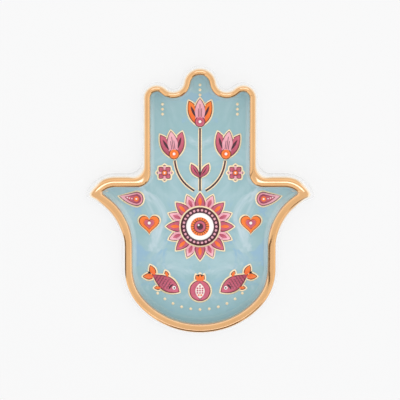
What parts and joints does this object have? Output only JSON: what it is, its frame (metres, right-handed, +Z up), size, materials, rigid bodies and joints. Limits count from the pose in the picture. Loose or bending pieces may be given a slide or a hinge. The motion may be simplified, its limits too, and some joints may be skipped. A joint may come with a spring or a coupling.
{
  "type": "hamsa hand trinket dish",
  "caption": "Shallow ceramic dish shaped like a hamsa hand, with a gold rounded rim, a blue printed floor with folk motifs and a bare foot ring; holds rings and small things.",
  "frame": {"origin": "under the middle of the dish, on the surface that its foot ring stands on", "axes": "+Z up out of the dish, +Y from the heel of the hand to the middle fingertip, +X to the right thumb"},
  "size_m": [0.119, 0.14, 0.018],
  "materials": {
    "bisque": "fired white clay, bare on the foot",
    "white_glaze": "glossy white glaze",
    "gold_lustre": "fired gold lustre, bright",
    "blue_print": "pale blue watercolour print under gloss",
    "rose_enamel": "fired enamel",
    "orange_enamel": "fired enamel",
    "pink_enamel": "fired enamel",
    "burgundy_enamel": "fired enamel",
    "white_enamel": "fired enamel"
  },
  "bodies": {
    "root": {"bisque_body": "bisque", "outer_glaze": "white_glaze", "base_glaze": "white_glaze", "gold_rim": "gold_lustre", "heel_dots": "gold_lustre", "finger_dots": "gold_lustre", "blue_ground": "blue_print", "eye_medallion": "rose_enamel", "left_tulip": "rose_enamel", "right_tulip": "rose_enamel", "pomegranate": "rose_enamel", "left_fish": "rose_enamel", "right_fish": "rose_enamel", "middle_tulip": "orange_enamel", "left_heart": "orange_enamel", "right_heart": "orange_enamel", "left_paisley": "pink_enamel", "right_paisley": "pink_enamel", "left_star": "pink_enamel", "right_star": "pink_enamel", "middle_stem": "burgundy_enamel", "left_stem": "burgundy_enamel", "right_stem": "burgundy_enamel", "medallion_eye": "white_enamel"}
  },
  "joints": []
}
